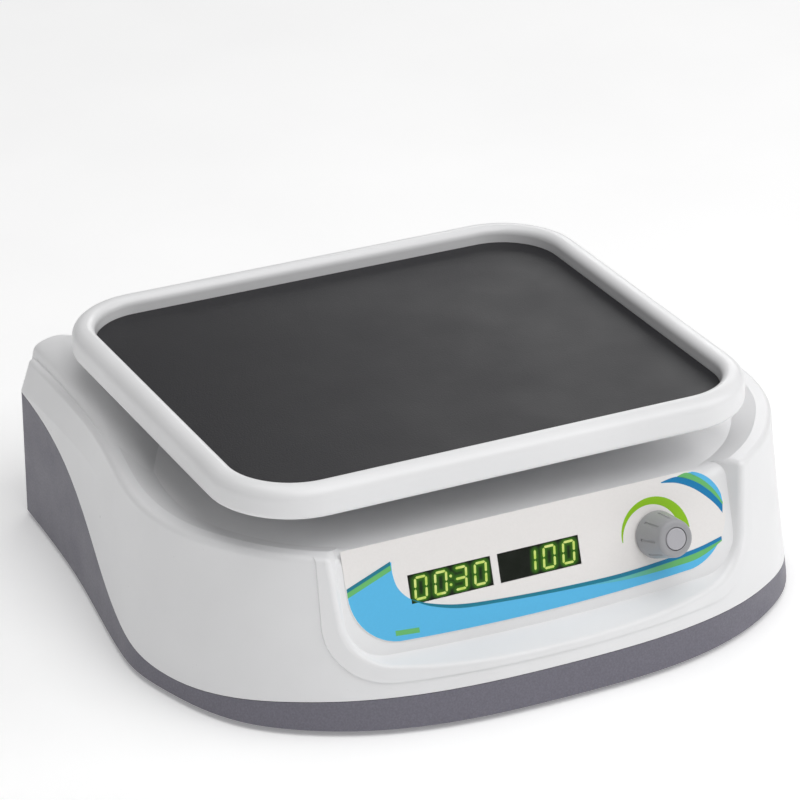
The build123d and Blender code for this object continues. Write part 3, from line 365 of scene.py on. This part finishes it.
def arc(centre, radius, start, end, steps=12):
    """Points on an arc; angles in degrees, measured from +u towards the top of the panel."""
    turn = [math.radians(start + (end - start) * i / steps) for i in range(steps + 1)]
    return [(centre[0] + radius * math.cos(a), centre[1] - radius * math.sin(a)) for a in turn]


def solid(name, bottom, top, material, body):
    """Closed thin solid between two matching loops of points, riding on a body."""
    form = bmesh.new()
    low = [form.verts.new(point) for point in bottom]
    high = [form.verts.new(point) for point in top]
    form.faces.new(high)
    form.faces.new(list(reversed(low)))
    for index in range(len(low)):
        after = (index + 1) % len(low)
        form.faces.new((low[index], low[after], high[after], high[index]))
    bmesh.ops.recalc_face_normals(form, faces=form.faces)
    bmesh.ops.triangulate(form, faces=[f for f in form.faces if len(f.verts) > 4],
                          ngon_method="EAR_CLIP")
    mesh = mesh_from(form, name)
    mesh.materials.append(material)
    piece = link(name, mesh)
    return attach(piece, body)


def ink(name, outline, material, layer):
    """Printed field on the label: its outline in panel millimetres, on a numbered layer."""
    low = LABEL_T - INK_T
    high = LABEL_T + INK_T * layer
    piece = solid(name, [panel(u, v, low) for u, v in outline],
                  [panel(u, v, high) for u, v in outline], material, "housing")
    return piece


LABEL_HALF = 98.7
LABEL_LOW = 46.8
LABEL_BOW = 4.0
LABEL_CORNER = 25.8


def label_low(u):
    """How far down the slope the label's bowed lower edge lies at u."""
    return LABEL_LOW + LABEL_BOW * (1 - (u / LABEL_HALF) ** 2)


SKY = tone(92, 192, 240)
DEEP = tone(14, 128, 184)
TEAL = tone(22, 126, 150)
LEAF = tone(108, 192, 112)
LIME = tone(146, 200, 26)

# Upper edge of the sky field, from its right tip past the displays to the left stripes.
SWEEP = [(95.0, 36.2), (84, 38.6), (72, 40.0), (40, 42.2), (8, 41.8), (-23, 40.2), (-44, 38.2),
         (-59, 34.5), (-68, 30.5), (-73.4, 24.5), (-75.2, 17.5), (-75, 11.5)]
# Outer edge of the label below the sweep, from the left stripes to the right tip.
left_corner = arc((-LABEL_HALF + LABEL_CORNER, label_low(LABEL_HALF - LABEL_CORNER) - LABEL_CORNER),
                  LABEL_CORNER, 180, 262)
right_corner = arc((LABEL_HALF - LABEL_CORNER, label_low(LABEL_HALF - LABEL_CORNER) - LABEL_CORNER),
                   LABEL_CORNER, -80, -31)
low_edge = [(u, label_low(u)) for u in range(-64, 66, 8)]
sky_outline = smooth_line(SWEEP) + [(-LABEL_HALF, 21.5)] + left_corner + low_edge + right_corner
ink("print_sky_field", sky_outline, film("ink_sky", SKY), 1)


def band(upper, widths):
    """Outline of a stripe under a line of points, with its thickness at each of them."""
    lower = [(u, v + width) for (u, v), width in zip(upper, widths)]
    return smooth_line(upper) + smooth_line(lower[::-1])


SWEEP_LOW = SWEEP[:9]
ink("print_sweep_leaf", band(SWEEP_LOW[:5], (2.2, 4.6, 5.0, 3.4, 1.0)),
    film("ink_leaf_to_sky", SKY, LEAF, 8 * MM, 74 * MM), 2)
ink("print_sweep_edge", band(SWEEP_LOW, (1.6, 1.9, 2.0, 1.9, 1.7, 1.6, 1.8, 1.2, 0.2)),
    film("ink_teal", TEAL, DEEP, 20 * MM, 95 * MM), 3)


STRIPE_START = (-LABEL_HALF, 19.2)
STRIPE_END = (-75.6, 11.2)


def stripe(name, low_offset, high_offset, material, layer):
    """Diagonal stripe over the left end of the sky field, between two offsets down the slope."""
    start, end = STRIPE_START, STRIPE_END
    outline = [(start[0], start[1] + high_offset), (end[0], end[1] + high_offset),
               (end[0], end[1] + low_offset), (start[0], start[1] + low_offset)]
    return ink(name, outline, material, layer)


stripe("print_left_teal", 1.7, 0.0, film("ink_left_teal", TEAL), 3)
stripe("print_left_leaf", 4.2, 1.7, film("ink_left_leaf", LEAF), 2)
ink("print_dash", [(-78, 43.2), (-78, 45.6), (-66, 46.6), (-66, 44.2)], film("ink_dash", LEAF), 2)

# Corner fields: nested crescents that end on the label's rounded corner.
CORNER_R = 20.3
corner_edge = arc((LABEL_HALF - CORNER_R, 1.8 + CORNER_R), CORNER_R, 90, 0, 16)


def crescent(name, inner, outer, material, layer):
    """Field between two curves in the label's top right corner."""
    return ink(name, smooth_line(inner) + smooth_line(outer[::-1]), material, layer)


DEEP_IN = [(67, 4.6), (75, 6.2), (83, 10.2), (90, 16), (94.5, 21), (97.3, 25.4)]
DEEP_OUT = [(67, 4.2), (76, 3.4), (85, 7.6), (91.5, 13), (95.6, 18), (97.9, 21.6)]
LEAF_OUT = [(76, 3.2), (81.5, 2.6), (88, 6.6), (93, 11.6), (96, 16), (98.2, 20.4)]
crescent("print_corner_deep", DEEP_IN, DEEP_OUT, film("ink_corner_deep", DEEP), 1)
crescent("print_corner_leaf", DEEP_OUT[1:], LEAF_OUT, film("ink_corner_leaf", LEAF), 1)
crescent("print_corner_sky", LEAF_OUT[1:], corner_edge[3:14], film("ink_corner_sky", SKY), 1)

# Speed scale beside the knob: thin at slow, thick at fast.
ARC_AT = (58.6, 28.3)
ARC_R = 14.6
ARC_SHIFT = 0.9          # how much wider the inner edge is at the slow end
ARC_THIN = 0.35
ARC_SWELL = 4.4
ARC_STEPS = 40


def speed_arc():
    """Outline of the half-turn scale, from slow on the left to fast on the right."""
    inner, outer = [], []
    for step in range(ARC_STEPS + 1):
        share = step / ARC_STEPS
        turn = math.radians(180 - 180 * share)
        thick = ARC_THIN + ARC_SWELL * share ** 0.8
        for ring, distance in ((inner, ARC_R + ARC_SHIFT - ARC_SHIFT * share),
                               (outer, ARC_R + ARC_SHIFT + thick)):
            ring.append((ARC_AT[0] + distance * math.cos(turn),
                         ARC_AT[1] - distance * math.sin(turn)))
    return inner + outer[::-1]


ink("print_speed_arc", speed_arc(), film("ink_lime", LIME), 1)


# ---------------------------------------------------------------- glow behind the numerals
GLOW_CELL = 0.5
GLOW_REACH = 2.4
GLOW_W = 0.44            # height of the sheet's top face out of the panel
GLOW_SINK = 0.02         # how far its lower face sits in the label
GLOW_INSET = 0.2
GLOW_SAMPLE = 0.4        # spacing of the lit spots along each bar's edges


def glow_material(name):
    """Dark window whose green light follows the mesh's glow attribute."""
    finish = Finish(name, tone(10, 16, 8), 0.2)
    spread = finish.nodes.new("ShaderNodeAttribute")
    spread.attribute_name = "glow"
    level = finish.math("MULTIPLY", spread.outputs["Fac"],
                        finish.spread(finish.noise(2.5 * MM, 2.0), 0.3, 0.7, 0.85, 1.1))
    finish.feed("Emission Color", finish.mix(level, tone(4, 8, 2), tone(64, 128, 14)))
    finish.set("Emission Strength", 0.75)
    finish.feed("Roughness", finish.spread(finish.noise(7 * MM, 3.0), 0.3, 0.7, 0.16, 0.26))
    finish.bump(finish.noise(0.4 * MM, 2.0), 0.003 * MM, 0.4)
    return finish.material


def flat_place(point):
    """Panel u and v, in millimetres, of a point in the row frame."""
    away = (point - PANEL_TOP) / MM
    return away.dot(PANEL_U), away.dot(PANEL_V)


def glow_plate(name, window, numerals):
    """Thin sheet over a display window that is lit more the nearer it lies to a lit bar."""
    spots = [flat_place(v.co) for v in frame["nodes"][window].data.vertices]
    left, right = min(s[0] for s in spots) + GLOW_INSET, max(s[0] for s in spots) - GLOW_INSET
    high, low = min(s[1] for s in spots) + GLOW_INSET, max(s[1] for s in spots) - GLOW_INSET
    mesh = frame["nodes"][numerals].data
    lit = []
    for edge in mesh.edges:
        a, b = (Vector(flat_place(mesh.vertices[i].co)) for i in edge.vertices)
        for share in np.linspace(0, 1, max(2, int((b - a).length / GLOW_SAMPLE))):
            lit.append(a.lerp(b, float(share)))
    tree = KDTree(len(lit))
    for index, spot in enumerate(lit):
        tree.insert((spot.x, spot.y, 0), index)
    tree.balance()
    columns = round((right - left) / GLOW_CELL)
    rows = round((low - high) / GLOW_CELL)
    form = bmesh.new()
    layer = form.verts.layers.float.new("glow")
    sheets = []
    for w in (GLOW_W, LABEL_T - GLOW_SINK):
        grid = []
        for row in range(rows + 1):
            for column in range(columns + 1):
                u = left + (right - left) * column / columns
                v = high + (low - high) * row / rows
                vert = form.verts.new(panel(u, v, w))
                away = tree.find((u, v, 0))[2]
                vert[layer] = max(0.0, 1 - away / GLOW_REACH) ** 1.3
                grid.append(vert)
        sheets.append(grid)
    across = columns + 1
    for grid in sheets:
        for row in range(rows):
            for column in range(columns):
                a = row * across + column
                form.faces.new((grid[a], grid[a + 1], grid[a + across + 1], grid[a + across]))
    top, bottom = sheets
    rim = ([*range(across)] + [across * r + columns for r in range(1, rows + 1)]
           + [across * rows + c for c in range(columns - 1, -1, -1)]
           + [across * r for r in range(rows - 1, 0, -1)])
    for index, a in enumerate(rim):
        b = rim[(index + 1) % len(rim)]
        form.faces.new((top[a], top[b], bottom[b], bottom[a]))
    bmesh.ops.recalc_face_normals(form, faces=form.faces)
    mesh = mesh_from(form, name)
    mesh.materials.append(glow_material(name + "_light"))
    piece = link(name, mesh)
    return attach(piece, "housing")


glow_plate("time_glow", "time_display", "time_numerals")
glow_plate("speed_glow", "speed_display", "speed_numerals")


# ---------------------------------------------------------------- floor, lights and camera
FLOOR_HALF = 4.0
AIM = (0, 0, 0.05)                        # what the lights look at, low in the housing
CAMERA_AT = (-0.7172, -1.4353, 0.86475)
CAMERA_LENS = 165.21
CAMERA_SENSOR = 36.0
CAMERA_TURN = (26.094, 25.730, -0.3035)   # yaw, pitch down and roll in degrees


def floor():
    form = bmesh.new()
    bmesh.ops.create_grid(form, x_segments=2, y_segments=2, size=FLOOR_HALF)
    mesh = mesh_from(form, "floor")
    finish = Finish("floor_paper", tone(250, 250, 250), 0.85, specular=0.1)
    finish.set("Emission Color", (1, 1, 1, 1))
    finish.set("Emission Strength", 0.2)
    fibre = finish.noise(0.15, 3.0)
    finish.feed("Base Color", finish.mix(finish.spread(fibre, 0.3, 0.7), tone(248, 248, 248),
                                         tone(252, 252, 252)))
    mesh.materials.append(finish.material)
    plane = link("floor", mesh)


def softbox(name, place, target, width, height, power):
    """Rectangular area light aimed at a target."""
    light = bpy.data.lights.new(name, "AREA")
    light.shape = "RECTANGLE"
    light.size = width
    light.size_y = height
    light.energy = power
    lamp = link(name, light)
    lamp.location = place
    lamp.rotation_euler = (Vector(target) - Vector(place)).to_track_quat("-Z", "Y").to_euler()


def world(level):
    scene = bpy.context.scene
    scene.world = bpy.data.worlds.new("studio")
    scene.world.use_nodes = True
    back = scene.world.node_tree.nodes["Background"]
    back.inputs["Color"].default_value = (1, 1, 1, 1)
    back.inputs["Strength"].default_value = level


def camera():
    yaw, pitch, roll = (math.radians(angle) for angle in CAMERA_TURN)
    ahead = Vector((math.sin(yaw) * math.cos(pitch), math.cos(yaw) * math.cos(pitch),
                    -math.sin(pitch)))
    right = Vector((math.cos(yaw), -math.sin(yaw), 0))
    up = right.cross(ahead)
    turn = Matrix((right, up, -ahead)).transposed() @ Matrix.Rotation(roll, 3, "Z")
    data = bpy.data.cameras.new("camera")
    data.lens = CAMERA_LENS
    data.sensor_width = CAMERA_SENSOR
    view = link("camera", data)
    view.matrix_world = Matrix.Translation(CAMERA_AT) @ turn.to_4x4()
    bpy.context.scene.camera = view


floor()
world(0.24)
softbox("key", (1.5, -0.9, 1.3), AIM, 1.2, 1.2, 9.5)
softbox("front", (0.2, -1.1, 1.75), AIM, 1.5, 1.2, 13)
softbox("top", (0.0, 0.1, 2.0), AIM, 1.8, 1.8, 13)
softbox("back", (1.5, 1.9, 1.0), (0, 0, 0.1), 1.1, 0.8, 6)
camera()
bpy.context.scene.view_settings.view_transform = "Standard"
